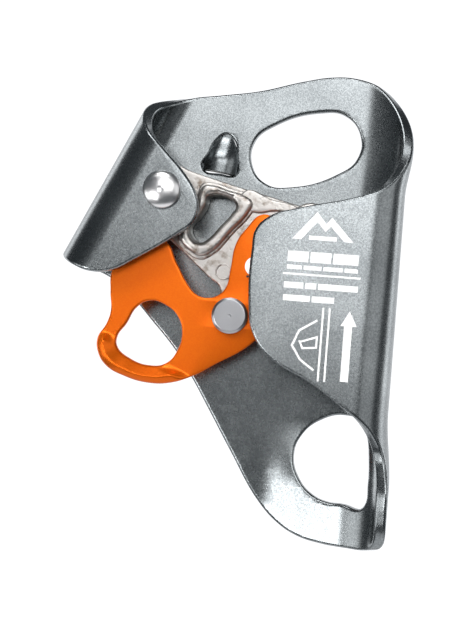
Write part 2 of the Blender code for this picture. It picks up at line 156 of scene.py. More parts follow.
# %% [markdown]
# ## Plates
#
# Most of this object is plate: the frame, the cam's layers and the lever. A flat plate with
# rounded edges is easiest as a filled 2D curve, because the curve's own bevel and offset round the
# edges of the outline and of every hole alike. The curve is made a mesh, cut along close parallel
# lines where it will bend, and then each point is moved to its place on the bent part.


# %% Outlines
def loop_spline(curve, points, steps):
    spline = curve.splines.new("BEZIER")
    spline.bezier_points.add(len(points) - 1)
    for bezier, (x, z) in zip(spline.bezier_points, points):
        bezier.co = (x * MM, z * MM, 0.0)
        bezier.handle_left_type = bezier.handle_right_type = "AUTO"
    spline.use_cyclic_u = True
    spline.resolution_u = steps


def ring_points(centre, radius, count=8):
    turn = 2.0 * math.pi / count
    return [(centre[0] + radius * math.cos(turn * i), centre[1] + radius * math.sin(turn * i))
            for i in range(count)]


def slot_points(first, second, radius, count=5):
    heading = math.atan2(second[1] - first[1], second[0] - first[0])
    points = []
    for centre, start in ((second, heading - math.pi / 2), (first, heading + math.pi / 2)):
        for i in range(count):
            angle = start + math.pi * i / (count - 1)
            points.append((centre[0] + radius * math.cos(angle), centre[1] + radius * math.sin(angle)))
    return points


def grown(points, factor):
    middle_x = sum(x for x, z in points) / len(points)
    middle_z = sum(z for x, z in points) / len(points)
    return [(middle_x + (x - middle_x) * factor, middle_z + (z - middle_z) * factor) for x, z in points]


def smooth_step(value, start, end):
    t = max(0.0, min(1.0, (value - start) / (end - start)))
    return t * t * (3.0 - 2.0 * t)


# %% From outline to bent plate
EDGE_STEPS = 3  # extra rows of faces round a rounded edge
MERGE = 1e-6  # metres between points that are one point
FINE_MERGE = 1e-7  # the same for thin wire and ink


def baked(thing):
    """The mesh that an object shows once its curve or its modifiers are worked out."""
    bpy.context.scene.collection.objects.link(thing)
    mesh = bpy.data.meshes.new_from_object(thing.evaluated_get(bpy.context.evaluated_depsgraph_get()))
    bpy.data.objects.remove(thing, do_unlink=True)
    return mesh


def merged(mesh, distance):
    """Joins the points that lie in one place, and turns every face outward."""
    work = bmesh.new()
    work.from_mesh(mesh)
    bmesh.ops.remove_doubles(work, verts=work.verts, dist=distance)
    bmesh.ops.recalc_face_normals(work, faces=work.faces)
    work.to_mesh(mesh)
    work.free()


def sheet_mesh(name, outline, holes, thickness, edge, steps=8):
    curve = bpy.data.curves.new(name, "CURVE")
    curve.dimensions = "2D"
    curve.fill_mode = "BOTH"
    curve.extrude = (thickness / 2 - edge) * MM
    curve.bevel_depth = edge * MM
    curve.bevel_resolution = EDGE_STEPS
    curve.offset = -edge * MM
    loop_spline(curve, outline, steps)
    for hole in holes:
        loop_spline(curve, hole, steps)
    mesh = baked(bpy.data.objects.new(name, curve))
    bpy.data.curves.remove(curve)
    mesh.name = name
    return mesh


def shape_sheet(mesh, cuts, place):
    """Cuts a plate along lines (start x, z, direction x, z, step, count), then places its points."""
    work = bmesh.new()
    work.from_mesh(mesh)
    bmesh.ops.remove_doubles(work, verts=work.verts, dist=MERGE)
    for x, z, normal_x, normal_z, step, count in cuts:
        for i in range(count):
            point = Vector((x + normal_x * step * i, z + normal_z * step * i, 0.0)) * MM
            bmesh.ops.bisect_plane(work, geom=work.verts[:] + work.edges[:] + work.faces[:],
                                   plane_co=point, plane_no=(normal_x, normal_z, 0.0), dist=2 * MERGE)
    bmesh.ops.triangulate(work, faces=[face for face in work.faces if len(face.verts) > 4])
    for vert in work.verts:
        x, y, z = place(vert.co.x / MM, vert.co.y / MM, -vert.co.z / MM)
        vert.co = (x * MM, y * MM, z * MM)
    bmesh.ops.recalc_face_normals(work, faces=work.faces)
    work.to_mesh(mesh)
    work.free()
    return mesh


def finished(name, mesh, material, body, weighted=True):
    """Links a mesh as a piece of the object, with normals that follow its broad faces."""
    mesh.materials.clear()
    mesh.materials.append(material)
    mesh.shade_smooth()
    piece = bpy.data.objects.new(name, mesh)
    bpy.context.scene.collection.objects.link(piece)
    if weighted:
        normals = piece.modifiers.new("Broad faces first", "WEIGHTED_NORMAL")
        normals.mode = "FACE_AREA_WITH_ANGLE"
        normals.weight = 80
        normals.keep_sharp = True
    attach(piece, body)
    return piece


def flat_plate(name, outline, holes, front, back, edge):
    middle = (front + back) / 2
    mesh = sheet_mesh(name, outline, holes, back - front, edge)
    return shape_sheet(mesh, [], lambda x, z, behind: (x, middle + behind, z))


# %% [markdown]
# ## Finishes
#
# Three metals meet here. The frame and the lever are blasted and anodised aluminium: the same
# make-up in two colours, so one function makes both. The grain of the blasting is finer than
# half a millimetre and shows as a quiet sparkle, so it is a bump with a little change of
# roughness and of dye, never a change of shape.


# %% Anodised aluminium
GLOSS_SPREAD = 0.04  # how much rougher or smoother one grain is than the next
COLUMN_WIDTH, ROW_HEIGHT = 220, 260  # spacing of the nodes in every material
NODES_LEFT, NODES_TOP = -600, 240


def anodised(name, colour, shade, roughness, grain_depth, metallic):
    material = bpy.data.materials.new(name)
    material.use_nodes = True
    nodes, links = material.node_tree.nodes, material.node_tree.links
    nodes.clear()

    place = nodes.new("ShaderNodeTexCoord")
    place.label = "Place on the piece"
    grain = nodes.new("ShaderNodeTexNoise")
    grain.label = "Blasted grain"
    grain.inputs["Scale"].default_value = 2400.0
    grain.inputs["Detail"].default_value = 1.0
    glint = nodes.new("ShaderNodeTexNoise")
    glint.label = "Patches of finer blasting"
    glint.inputs["Scale"].default_value = 900.0
    cloud = nodes.new("ShaderNodeTexNoise")
    cloud.label = "Uneven dye"
    cloud.inputs["Scale"].default_value = 60.0
    cloud.inputs["Detail"].default_value = 2.0

    dye = nodes.new("ShaderNodeMix")
    dye.label = "Dye, thin to full"
    dye.data_type = "RGBA"
    dye.inputs["A"].default_value = (*colour, 1.0)
    dye.inputs["B"].default_value = (*shade, 1.0)
    speckle = nodes.new("ShaderNodeMapRange")
    speckle.label = "Grain darkens the dye"
    speckle.inputs["From Min"].default_value = 0.35
    speckle.inputs["From Max"].default_value = 0.65
    mixed = nodes.new("ShaderNodeMath")
    mixed.label = "Cloud and grain together"
    mixed.operation = "MULTIPLY_ADD"
    mixed.inputs[1].default_value = 0.45

    gloss = nodes.new("ShaderNodeMapRange")
    gloss.label = "Each grain's own gloss"
    gloss.inputs["To Min"].default_value = roughness - GLOSS_SPREAD
    gloss.inputs["To Max"].default_value = roughness + GLOSS_SPREAD
    bump = nodes.new("ShaderNodeBump")
    bump.label = "Blasted relief"
    bump.inputs["Strength"].default_value = 0.3
    bump.inputs["Distance"].default_value = grain_depth * MM
    shader = nodes.new("ShaderNodeBsdfPrincipled")
    shader.label = "Anodised aluminium"
    shader.inputs["Metallic"].default_value = metallic
    output = nodes.new("ShaderNodeOutputMaterial")

    links.new(place.outputs["Object"], grain.inputs["Vector"])
    links.new(place.outputs["Object"], glint.inputs["Vector"])
    links.new(place.outputs["Object"], cloud.inputs["Vector"])
    links.new(grain.outputs["Fac"], speckle.inputs["Value"])
    links.new(speckle.outputs["Result"], mixed.inputs[0])
    links.new(cloud.outputs["Fac"], mixed.inputs[2])
    links.new(mixed.outputs["Value"], dye.inputs["Factor"])
    links.new(dye.outputs["Result"], shader.inputs["Base Color"])
    links.new(glint.outputs["Fac"], gloss.inputs["Value"])
    links.new(gloss.outputs["Result"], shader.inputs["Roughness"])
    links.new(grain.outputs["Fac"], bump.inputs["Height"])
    links.new(bump.outputs["Normal"], shader.inputs["Normal"])
    links.new(shader.outputs["BSDF"], output.inputs["Surface"])

    for column, members in enumerate(((place,), (grain, glint, cloud), (speckle, mixed),
                                      (dye, gloss, bump), (shader,), (output,))):
        for row, node in enumerate(members):
            node.location = (column * COLUMN_WIDTH + NODES_LEFT, NODES_TOP - row * ROW_HEIGHT)
    for title, members in (("Dye", (cloud, speckle, mixed, dye)), ("Gloss", (glint, gloss)),
                           ("Relief", (grain, bump))):
        box = nodes.new("NodeFrame")
        box.label = title
        for node in members:
            node.parent = box
    return material


frame_grey = anodised("frame_grey", (0.475, 0.503, 0.512), (0.21, 0.226, 0.234), 0.27, 0.007, 1.0)
lever_orange = anodised("lever_orange", (0.96, 0.185, 0.004), (0.90, 0.145, 0.002), 0.34, 0.012, 0.72)
print("anodised:", frame_grey.name, lever_orange.name)

# %% [markdown]
# The cam is cast, tumbled and nickel plated. Casting leaves small pits and soft waves, and the
# hollows keep a brown film where polishing doesn't reach.


# %% Cast nickel
def cast_nickel(name, bright, film, pit_depth):
    material = bpy.data.materials.new(name)
    material.use_nodes = True
    nodes, links = material.node_tree.nodes, material.node_tree.links
    nodes.clear()

    place = nodes.new("ShaderNodeTexCoord")
    place.label = "Place on the piece"
    waves = nodes.new("ShaderNodeTexNoise")
    waves.label = "Soft cast waves"
    waves.inputs["Scale"].default_value = 500.0
    waves.inputs["Detail"].default_value = 4.0
    pits = nodes.new("ShaderNodeTexVoronoi")
    pits.label = "Casting pits"
    pits.inputs["Scale"].default_value = 900.0
    depth = nodes.new("ShaderNodeMapRange")
    depth.label = "Pits only where cells meet low"
    depth.inputs["From Max"].default_value = 0.35
    film_here = nodes.new("ShaderNodeMapRange")
    film_here.label = "Where the film stays"
    film_here.inputs["From Min"].default_value = 0.52
    film_here.inputs["From Max"].default_value = 0.72
    tint = nodes.new("ShaderNodeMix")
    tint.label = "Nickel under a brown film"
    tint.data_type = "RGBA"
    tint.inputs["A"].default_value = (*bright, 1.0)
    tint.inputs["B"].default_value = (*film, 1.0)
    gloss = nodes.new("ShaderNodeMapRange")
    gloss.label = "Duller in the film"
    gloss.inputs["To Min"].default_value = 0.30
    gloss.inputs["To Max"].default_value = 0.46
    relief = nodes.new("ShaderNodeMath")
    relief.label = "Waves and pits together"
    relief.operation = "MULTIPLY_ADD"
    relief.inputs[1].default_value = 0.6
    bump = nodes.new("ShaderNodeBump")
    bump.label = "Cast skin"
    bump.inputs["Strength"].default_value = 0.6
    bump.inputs["Distance"].default_value = pit_depth * MM
    shader = nodes.new("ShaderNodeBsdfPrincipled")
    shader.label = "Nickel plate"
    shader.inputs["Metallic"].default_value = 1.0
    output = nodes.new("ShaderNodeOutputMaterial")

    links.new(place.outputs["Object"], waves.inputs["Vector"])
    links.new(place.outputs["Object"], pits.inputs["Vector"])
    links.new(pits.outputs["Distance"], depth.inputs["Value"])
    links.new(waves.outputs["Fac"], film_here.inputs["Value"])
    links.new(film_here.outputs["Result"], tint.inputs["Factor"])
    links.new(tint.outputs["Result"], shader.inputs["Base Color"])
    links.new(waves.outputs["Fac"], gloss.inputs["Value"])
    links.new(gloss.outputs["Result"], shader.inputs["Roughness"])
    links.new(waves.outputs["Fac"], relief.inputs[0])
    links.new(depth.outputs["Result"], relief.inputs[2])
    links.new(relief.outputs["Value"], bump.inputs["Height"])
    links.new(bump.outputs["Normal"], shader.inputs["Normal"])
    links.new(shader.outputs["BSDF"], output.inputs["Surface"])

    for column, members in enumerate(((place,), (waves, pits), (depth, film_here, relief),
                                      (tint, gloss, bump), (shader,), (output,))):
        for row, node in enumerate(members):
            node.location = (column * COLUMN_WIDTH + NODES_LEFT, NODES_TOP - row * ROW_HEIGHT)
    for title, members in (("Film", (film_here, tint)), ("Gloss", (gloss,)),
                           ("Cast skin", (waves, pits, depth, relief, bump))):
        box = nodes.new("NodeFrame")
        box.label = title
        for node in members:
            node.parent = box
    return material


cam_nickel = cast_nickel("cam_nickel", (0.66, 0.63, 0.60), (0.30, 0.245, 0.20), 0.07)
print("cast:", cam_nickel.name)

# %% [markdown]
# The rivet, the pin and the springs are plain steel. Turning leaves rings round their own axis, so
# the rings are worked out from the distance to that axis, which a Mapping node puts at the
# pattern's middle.


# %% Turned and drawn steel
def turned_steel(name, centre, colour, roughness, ring_depth):
    material = bpy.data.materials.new(name)
    material.use_nodes = True
    nodes, links = material.node_tree.nodes, material.node_tree.links
    nodes.clear()

    place = nodes.new("ShaderNodeTexCoord")
    place.label = "Place on the piece"
    centred = nodes.new("ShaderNodeMapping")
    centred.label = "Middle on the turning axis"
    centred.inputs["Location"].default_value = (-centre[0] * MM, 0.0, -centre[1] * MM)
    centred.inputs["Scale"].default_value = (1.0, 0.0, 1.0)
    rings = nodes.new("ShaderNodeTexWave")
    rings.label = "Turning rings"
    rings.wave_type = "RINGS"
    rings.rings_direction = "SPHERICAL"
    rings.inputs["Scale"].default_value = 900.0
    rings.inputs["Distortion"].default_value = 0.6
    wear = nodes.new("ShaderNodeTexNoise")
    wear.label = "Handling wear"
    wear.inputs["Scale"].default_value = 250.0
    gloss = nodes.new("ShaderNodeMapRange")
    gloss.label = "Gloss worn unevenly"
    gloss.inputs["To Min"].default_value = roughness - 0.05
    gloss.inputs["To Max"].default_value = roughness + 0.09
    bump = nodes.new("ShaderNodeBump")
    bump.label = "Fine ring relief"
    bump.inputs["Strength"].default_value = 0.35
    bump.inputs["Distance"].default_value = ring_depth * MM
    shader = nodes.new("ShaderNodeBsdfPrincipled")
    shader.label = "Steel"
    shader.inputs["Base Color"].default_value = (*colour, 1.0)
    shader.inputs["Metallic"].default_value = 1.0
    output = nodes.new("ShaderNodeOutputMaterial")

    links.new(place.outputs["Object"], centred.inputs["Vector"])
    links.new(centred.outputs["Vector"], rings.inputs["Vector"])
    links.new(place.outputs["Object"], wear.inputs["Vector"])
    links.new(wear.outputs["Fac"], gloss.inputs["Value"])
    links.new(gloss.outputs["Result"], shader.inputs["Roughness"])
    links.new(rings.outputs["Fac"], bump.inputs["Height"])
    links.new(bump.outputs["Normal"], shader.inputs["Normal"])
    links.new(shader.outputs["BSDF"], output.inputs["Surface"])

    for column, members in enumerate(((place,), (centred,), (rings, wear), (gloss, bump),
                                      (shader,), (output,))):
        for row, node in enumerate(members):
            node.location = (column * COLUMN_WIDTH + NODES_LEFT, NODES_TOP - row * ROW_HEIGHT)
    for title, members in (("Rings", (centred, rings, bump)), ("Wear", (wear, gloss))):
        box = nodes.new("NodeFrame")
        box.label = title
        for node in members:
            node.parent = box
    return material


rivet_steel = turned_steel("rivet_steel", AXLE, (0.93, 0.92, 0.92), 0.28, 0.0005)
pin_steel = turned_steel("pin_steel", PIN, (0.52, 0.52, 0.54), 0.30, 0.008)
spring_steel = turned_steel("spring_steel", AXLE, (0.50, 0.50, 0.52), 0.30, 0.004)


# %% Ink and resin
FILM_RELIEF = 0.02  # depth of the film's unevenness


def plain_coat(name, colour, roughness, mottle):
    material = bpy.data.materials.new(name)
    material.use_nodes = True
    nodes, links = material.node_tree.nodes, material.node_tree.links
    nodes.clear()
    place = nodes.new("ShaderNodeTexCoord")
    place.label = "Place on the piece"
    uneven = nodes.new("ShaderNodeTexNoise")
    uneven.label = "Uneven film"
    uneven.inputs["Scale"].default_value = 1500.0
    tone = nodes.new("ShaderNodeMix")
    tone.label = "Thin and thick film"
    tone.data_type = "RGBA"
    tone.inputs["A"].default_value = (*[value * (1.0 - mottle) for value in colour], 1.0)
    tone.inputs["B"].default_value = (*colour, 1.0)
    bump = nodes.new("ShaderNodeBump")
    bump.label = "Film over the grain"
    bump.inputs["Strength"].default_value = 0.3
    bump.inputs["Distance"].default_value = FILM_RELIEF * MM
    shader = nodes.new("ShaderNodeBsdfPrincipled")
    shader.label = "Coat"
    shader.inputs["Roughness"].default_value = roughness
    output = nodes.new("ShaderNodeOutputMaterial")
    links.new(place.outputs["Object"], uneven.inputs["Vector"])
    links.new(uneven.outputs["Fac"], tone.inputs["Factor"])
    links.new(uneven.outputs["Fac"], bump.inputs["Height"])
    links.new(tone.outputs["Result"], shader.inputs["Base Color"])
    links.new(bump.outputs["Normal"], shader.inputs["Normal"])
    links.new(shader.outputs["BSDF"], output.inputs["Surface"])
    for column, node in enumerate((place, uneven, tone, bump, shader, output)):
        node.location = (column * COLUMN_WIDTH + NODES_LEFT, NODES_TOP)
    return material


white_ink = plain_coat("white_ink", (0.92, 0.92, 0.92), 0.55, 0.08)
black_ink = plain_coat("black_ink", (0.02, 0.02, 0.02), 0.5, 0.2)
black_resin = plain_coat("black_resin", (0.035, 0.035, 0.038), 0.45, 0.25)

# %% [markdown]
# ## The folded frame
#
# The blank is cut with its four holes and the slot of the cam stop, then bent. Both bends, the
# flare beside the connector holes and the twist of the lower lobe are one rule that takes a point
# of the blank to its place. Close cuts along the bends keep the curve round.


# %% Bending rule
def bend_section(turn, behind, back, front, radius):
    flat = max(0.0, turn - math.pi) * radius
    turn = min(turn, math.pi)
    axes = back if turn <= math.pi / 2 else front
    side = back[0] - axes[0] + axes[0] * math.sin(turn)
    ahead = -back[1] + axes[1] * math.cos(turn)
    normal = Vector((axes[1] * math.sin(turn), axes[0] * math.cos(turn))).normalized()
    return side + behind * normal.x - flat, ahead + behind * normal.y


def bent_place(x, z, behind):
    distance = -x * math.cos(FLAP_LEAN) + z * math.sin(FLAP_LEAN)
    y = behind
    if x > CHANNEL_START:
        turn = (x - CHANNEL_START) / CHANNEL_RADIUS
        x, y = bend_section(turn, behind, CHANNEL_BACK, CHANNEL_FRONT, CHANNEL_RADIUS)
        flare = BULGE_TOP * smooth_step(z, *FLARE_TOP) + BULGE_LOW * smooth_step(z, *FLARE_LOW)
        x += CHANNEL_START + flare * math.sin(min(turn, math.pi))
        y += LEAF_TAPER * (z - LEAF_MIDDLE) * smooth_step(turn, math.pi / 2, math.pi)
    elif distance > FLAP_START:
        along = x * math.sin(FLAP_LEAN) + z * math.cos(FLAP_LEAN)
        turn = (distance - FLAP_START) / FLAP_RADIUS
        offset, y = bend_section(turn, behind, FLAP_BEND, FLAP_BEND, FLAP_RADIUS)
        x, z = across_flap(FLAP_START + offset, along)
    twist = LOBE_TWIST * smooth_step(z, *TWIST_DOWN) * smooth_step(z + x, *TWIST_ACROSS)
    y -= twist * max(0.0, x - LOBE_HINGE)
    return x, y, z


# %% The frame
AXLE_RADIUS = 3.0
axle_across = -AXLE[0] * math.cos(FLAP_LEAN) + AXLE[1] * math.sin(FLAP_LEAN)
axle_along = AXLE[0] * math.sin(FLAP_LEAN) + AXLE[1] * math.cos(FLAP_LEAN)
frame_holes = [
    slot_points(*UPPER_HOLE),
    LOWER_HOLE,
    STOP_OUTLINE,
    ring_points(AXLE, AXLE_RADIUS + GAP),
    ring_points(flap(axle_across, axle_along), AXLE_RADIUS + GAP),
]
flap_line = across_flap(FLAP_START, 0.0)
CHANNEL_STEPS, FLAP_STEPS = 48, 40  # flat strips that each bend is cut into
OUTLINE_STEPS = 12  # pieces of each stretch of a large outline
frame_cuts = [
    (CHANNEL_START, 0.0, 1.0, 0.0, CHANNEL_WIDTH / CHANNEL_STEPS, CHANNEL_STEPS + 1),
    (*flap_line, -math.cos(FLAP_LEAN), math.sin(FLAP_LEAN), FLAP_WIDTH / FLAP_STEPS, FLAP_STEPS + 1),
    (-34.0, 0.0, 1.0, 0.0, 2.5, 14),  # across the twist
    (0.0, -22.0, 0.0, 1.0, 1.5, 28),  # down the twist and the lower flare
    (0.0, 66.0, 0.0, 1.0, 2.0, 12),  # down the upper flare
]
frame_mesh = sheet_mesh("folded_frame", BLANK, frame_holes, SHEET, EDGE, steps=OUTLINE_STEPS)
folded_frame = finished("folded_frame", shape_sheet(frame_mesh, frame_cuts, bent_place), frame_grey, "body")
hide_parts("frame")
print("frame:", len(frame_mesh.polygons), "faces")

# %% [markdown]
# The cam stop is a tongue pressed out of the plate above the cam. It starts level with the plate
# at its top and stands proud at its lower edge, where it is sheared open. A small grid, raised by
# a formula and given a wall by Solidify, makes it.

# %% Cam stop
STOP_TOP, STOP_LOW = 87.6, 76.6
STOP_MIDDLE, STOP_DRIFT = -34.8, -1.6  # x of its middle line at the top, and how far that moves
STOP_TIP, STOP_SPREAD = 0.6, 4.4  # half its width at the tip, and what it gains by its foot
STOP_SKEW = -0.65  # how far its foot slants
STOP_SINK = 0.5  # how deep its edge lies in the plate
STOP_RISE = 3.4
STOP_WALL = 1.5
STOP_ROWS, STOP_COLUMNS = 26, 24


def stop_point(down, side):
    """A point of the tongue, for down from 0 to 1 and side from -1 to 1."""
    half = STOP_TIP + STOP_SPREAD * math.sin(min(1.0, down * 1.15) * math.pi / 2) ** 0.8
    middle_line = STOP_MIDDLE + STOP_DRIFT * down
    lean = STOP_SKEW * down * side
    rise = STOP_RISE * smooth_step(down, -0.05, 0.75) * (1.0 - abs(side) ** 2.6) ** 0.8
    x = middle_line + half * side
    z = STOP_TOP + (STOP_LOW - STOP_TOP) * down + lean
    return x * MM, (-SHEET / 2 + STOP_SINK - rise) * MM, z * MM


stop_mesh = bpy.data.meshes.new("cam_stop")
stop_points = [stop_point(row / (STOP_ROWS - 1), 2.0 * column / (STOP_COLUMNS - 1) - 1.0)
               for row in range(STOP_ROWS) for column in range(STOP_COLUMNS)]
stop_faces = [(row * STOP_COLUMNS + column, (row + 1) * STOP_COLUMNS + column,
               (row + 1) * STOP_COLUMNS + column + 1, row * STOP_COLUMNS + column + 1)
              for row in range(STOP_ROWS - 1) for column in range(STOP_COLUMNS - 1)]
stop_mesh.from_pydata(stop_points, [], stop_faces)
cam_stop = finished("cam_stop", stop_mesh, frame_grey, "body", weighted=False)
stop_wall = cam_stop.modifiers.new("Wall", "SOLIDIFY")
stop_wall.thickness = STOP_WALL * MM
stop_wall.offset = -1.0
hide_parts("frame")
print("stop rises", STOP_RISE, "mm")

# %% [markdown]
# ## The cam
#
# The cam is one casting: a flat body, a raised bead round its window, a ring round the lever's pin
# and a thick toothed nose that meets the rope. Each is its own plate here, sunk a little into the
# body, so that every step keeps its own rounded edge.

# %% Cam outlines
CAM_BACK, CAM_FRONT, CAM_RAISED = -2.8, -8.8, -11.2  # y of the cam's faces
CAM_OVERLAP = 1.5  # how deep each raised layer is sunk into the body
STEP_RISE, BAR_RISE, NOSE_DROP = 0.8, 1.0, 1.4
PIN_RADIUS = 2.5
LUG_RADIUS = 3.7
CAM_BODY = [
    (-55.0, 75.2), (-49.0, 78.0), (-43.0, 76.2), (-13.0, 68.9), (3.0, 65.2), (6.2, 63.4), (6.6, 60.4),
    (4.2, 55.4), (-3.0, 47.6), (-12.0, 40.0), (-21.0, 33.4), (-26.6, 31.4), (-31.6, 32.4),
    (-34.2, 36.0), (-34.3, 39.6), (-32.9, 42.6), (-33.0, 45.4), (-35.8, 47.6), (-39.9, 51.0),
    (-45.0, 55.2), (-49.4, 58.8), (-54.6, 63.8), (-57.0, 70.0),
]
CAM_RIM = [
    (-40.4, 70.0), (-39.2, 72.4), (-37.0, 72.7), (-32.2, 71.6), (-27.4, 70.3), (-25.6, 68.8),
    (-26.2, 66.4), (-30.8, 60.4), (-35.8, 54.6), (-38.8, 53.4), (-41.8, 54.7), (-44.4, 57.2),
    (-44.6, 59.8), (-42.4, 63.2), (-40.9, 66.2),
]
CAM_WINDOW = [
    (-38.3, 67.0), (-37.7, 69.4), (-35.6, 70.0), (-31.6, 69.0), (-30.2, 67.5), (-31.2, 65.4),
    (-34.2, 61.6), (-37.0, 58.3), (-39.2, 57.1), (-41.5, 58.7), (-42.1, 60.9), (-39.9, 63.9),
]
NOSE = [(-13.5, 68.3), (3.0, 64.4), (5.6, 62.6), (5.9, 60.4), (3.6, 55.8), (-3.6, 48.2), (-10.0, 43.0),
        (-13.0, 46.0), (-13.6, 56.0)]
CAM_BAR = [(-28.6, 71.4), (-20.0, 69.9), (-13.6, 68.5), (-12.4, 67.6), (-13.4, 67.0), (-20.0, 66.8),
           (-24.3, 66.1), (-28.2, 67.6)]

# %% Cam layers
cam_bores = [ring_points(AXLE, AXLE_RADIUS + GAP), ring_points(PIN, PIN_RADIUS + GAP), CAM_WINDOW]
layer_back = CAM_FRONT + CAM_OVERLAP
cam_layers = [
    ("cam_body", CAM_BODY, cam_bores, CAM_FRONT, CAM_BACK, 0.6),
    ("cam_step", grown(CAM_RIM, 1.09), [grown(CAM_WINDOW, 1.02)], CAM_FRONT - STEP_RISE, layer_back, 0.5),
    ("cam_bead", CAM_RIM, [grown(CAM_WINDOW, 1.05)], CAM_RAISED, layer_back, 1.1),
    ("cam_nose", NOSE, [], CAM_RAISED - NOSE_DROP, layer_back, 1.0),
    ("cam_bar", CAM_BAR, [], CAM_FRONT - BAR_RISE, layer_back, 0.5),
    ("cam_lug", ring_points(PIN, LUG_RADIUS), [ring_points(PIN, PIN_RADIUS + 1.05 * GAP)], CAM_RAISED,
     layer_back, 0.2),
]
for layer_name, outline, holes, front, back, edge in cam_layers:
    layer = finished(layer_name, flat_plate(layer_name, outline, holes, front, back, edge), cam_nickel,
                     "cam")
    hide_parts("cam")
print("cam:", len(cam_layers), "layers")

# %% [markdown]
# Rows of small cones on the nose bite the rope. They stand square to the nose's face, in rows that
# are staggered like a rasp's. A shallow cast ring marks the lower arm of the cam.

# %% Teeth
TOOTH_HEIGHT, TOOTH_RADIUS, TOOTH_TIP = 1.5, 0.7, 0.12
TOOTH_ROOT = 0.3  # how much of each tooth is sunk into the nose
TOOTH_ROWS, TOOTH_COLUMNS = 11, 4
TOOTH_FIRST, TOOTH_PITCH = -4.4, 1.7  # y of the rear column, and the step between columns
face_start, face_end = Vector((5.6, 59.0)), Vector((-7.6, 45.2))
outward = Vector((face_start.y - face_end.y, face_end.x - face_start.x)).normalized()
teeth = bmesh.new()
for row in range(TOOTH_ROWS):
    along_face = face_start.lerp(face_end, row / (TOOTH_ROWS - 1))
    for column in range(TOOTH_COLUMNS):
        depth = TOOTH_FIRST - TOOTH_PITCH * column - TOOTH_PITCH / 2 * (row % 2)
        spot = along_face + outward * (TOOTH_HEIGHT / 2 - TOOTH_ROOT)
        heading = Vector((outward.x, 0.0, outward.y)).to_track_quat("Z", "Y").to_matrix().to_4x4()
        where = Matrix.Translation(Vector((spot.x, depth, spot.y)) * MM) @ heading
        bmesh.ops.create_cone(teeth, cap_ends=True, segments=10, radius1=TOOTH_RADIUS * MM,
                              radius2=TOOTH_TIP * MM, depth=TOOTH_HEIGHT * MM, matrix=where)
teeth_mesh = bpy.data.meshes.new("cam_teeth")
teeth.to_mesh(teeth_mesh)
teeth.free()
cam_teeth = finished("cam_teeth", teeth_mesh, cam_nickel, "cam")
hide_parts("cam")
print("teeth:", TOOTH_ROWS * TOOTH_COLUMNS)

# %% Cast ring
MARK, MARK_RADIUS, MARK_WIRE = (-32.2, 49.6), 2.0, 0.2
ring_curve = bpy.data.curves.new("cast_ring", "CURVE")
ring_curve.dimensions = "3D"
ring_curve.bevel_depth = MARK_WIRE * MM
ring_curve.bevel_resolution = EDGE_STEPS
loop_spline(ring_curve, ring_points((0.0, 0.0), MARK_RADIUS), 6)
ring_mesh = baked(bpy.data.objects.new("cast_ring", ring_curve))
ring_mesh.transform(Matrix.Rotation(math.radians(90), 4, "X"))
ring_mesh.transform(Matrix.Translation(Vector((MARK[0], CAM_FRONT, MARK[1])) * MM))
cast_ring = finished("cast_ring", ring_mesh, cam_nickel, "cam", weighted=False)
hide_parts("cam")

# %% [markdown]
# ## The release lever
#
# The lever is a 2 mm orange plate on a pin in the cam's arm. The rim of its finger loop is pressed
# forward into a ridge, so that the finger meets a round lip and not an edge. Each point of the
# plate is raised by how far it lies between the hole's edge and the outer edge, so the ridge runs
# along the loop whatever shape the loop has.

# %% Lever outlines
LEVER_BACK, LEVER_FRONT, LEVER_EDGE = -11.6, -13.6, 0.5
LEVER = [
    (-61.4, 37.0), (-61.9, 42.0), (-61.8, 48.0), (-58.6, 52.2), (-53.4, 55.6), (-48.0, 56.4),
    (-44.6, 51.2), (-41.0, 45.4), (-38.4, 42.9), (-35.6, 42.3), (-32.7, 43.2), (-30.7, 45.6),
    (-29.9, 50.4), (-28.9, 57.4), (-26.3, 61.8), (-22.4, 65.6), (-19.2, 64.6), (-17.2, 58.0),
    (-17.0, 46.0), (-18.6, 36.4), (-22.4, 31.2), (-32.1, 24.6), (-38.4, 20.8), (-43.7, 18.8),
    (-49.4, 18.3), (-56.2, 19.6), (-61.6, 22.2), (-64.0, 25.8), (-64.3, 29.4), (-62.2, 33.6),
]
FINGER_HOLE = [
    (-54.4, 38.4), (-50.8, 40.4), (-46.4, 39.4), (-43.0, 36.6), (-41.6, 32.4), (-42.6, 27.4),
    (-45.4, 23.9), (-50.0, 23.0), (-55.2, 24.4), (-59.0, 27.4), (-59.2, 30.0), (-57.0, 33.6),
]

# %% The pressed lip
LIP_LINE = Vector((-63.2, 31.2))  # a point of the line where the lip starts
LIP_ACROSS = Vector((-0.39, -0.921))  # the way across that line, towards the lip
LIP_START, LIP_FULL = -0.6, 2.2  # how far beyond the line the rise begins and is complete
LIP_RISE = 2.4
LIP_RIDGE = 0.6  # where the ridge lies between the hole's edge, 0, and the outer edge, 1
LIP_FALL = 0.62  # share of its height that the ridge loses on its way out
LIP_WIDE, LIP_NARROW = 11.0, 7.5  # the lip fades out where the rim is wider than this


def outline_samples(points):
    """Close points along the smooth outline that the plate is cut to."""
    curve = bpy.data.curves.new("outline", "CURVE")
    curve.dimensions = "2D"
    curve.fill_mode = "NONE"
    loop_spline(curve, points, 10)
    mesh = baked(bpy.data.objects.new("outline", curve))
    places = [Vector((vert.co.x, vert.co.y)) / MM for vert in mesh.vertices]
    bpy.data.curves.remove(curve)
    bpy.data.meshes.remove(mesh)
    return places


def distance_to_loop(spot, loop):
    nearest = 1e9
    for i, start in enumerate(loop):
        along = loop[i - 1] - start
        part = max(0.0, min(1.0, (spot - start).dot(along) / max(along.dot(along), 1e-9)))
        nearest = min(nearest, (start + along * part - spot).length)
    return nearest


hole_edge = outline_samples(FINGER_HOLE)
outer_edge = outline_samples(LEVER)


